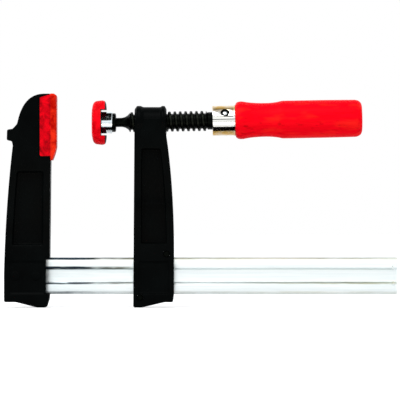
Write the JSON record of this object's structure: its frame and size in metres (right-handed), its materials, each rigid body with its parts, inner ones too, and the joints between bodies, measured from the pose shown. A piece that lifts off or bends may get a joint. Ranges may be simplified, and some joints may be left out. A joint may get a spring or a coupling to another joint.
{
  "type": "f clamp",
  "caption": "F clamp for woodworking: fixed jaw on a grooved steel rail, sliding arm, screw spindle with a swivelling pressure plate, capped pads and a turned wooden handle.",
  "frame": {"origin": "middle of the fixed pad's flat working face, straight opposite the middle of the pressure plate", "axes": "+X along the rail, from the fixed jaw's face towards the free end and the handle; +Z away from the rail, towards the jaws' tips; Y across the clamp's thickness"},
  "size_m": [0.2908, 0.0328, 0.1583],
  "materials": {
    "rail_steel": "bright zinc plating over cold-drawn steel",
    "black_iron": "black gloss enamel over cast malleable iron",
    "red_plastic": "moulded red plastic",
    "black_steel": "black oxide on steel",
    "plated_steel": "bright plating on turned steel",
    "ferrule_steel": "yellow-tinted zinc plating on rolled sheet steel",
    "red_wood": "red lacquer on turned hardwood"
  },
  "bodies": {
    "fixed_frame": {"rail": "rail_steel", "fixed_jaw": "black_iron", "jaw_rivet_front": "black_iron", "jaw_rivet_back": "black_iron", "fixed_jaw_cap": "red_plastic"},
    "sliding_arm": {"sliding_arm": "black_iron", "grip_pin_upper": "black_steel", "grip_pin_lower": "black_steel"},
    "snap_ring": {"ball_ring": "plated_steel"},
    "spindle": {"spindle": "black_steel", "ferrule": "ferrule_steel", "cross_pin": "plated_steel", "handle": "red_wood"},
    "pressure_plate": {"pressure_plate": "plated_steel", "pressure_cap": "red_plastic"}
  },
  "joints": [
    {"name": "arm_slide", "type": "slide", "parent": "fixed_frame", "child": "sliding_arm", "axis": [1, 0, 0], "range_m": [-0.008, 0.16]},
    {"name": "spindle_feed", "type": "slide", "parent": "sliding_arm", "child": "snap_ring", "axis": [0.9998, 0, 0.0175], "range_m": [-0.016, 0.01]},
    {"name": "spindle_turn", "type": "hinge", "parent": "snap_ring", "child": "spindle", "pos_m": [0.0375, 0, 0], "axis": [0.9998, 0, 0.0175], "range_deg": [-1441, 901]},
    {"name": "plate_tilt", "type": "hinge", "parent": "snap_ring", "child": "pressure_plate", "pos_m": [0.0375, 0, 0], "axis": [0, 1, 0], "range_deg": [-10, 10]}
  ],
  "couplings": [
    {"joint": "spindle_turn", "follows": "spindle_feed", "rad_per_m": 1570.8}
  ]
}
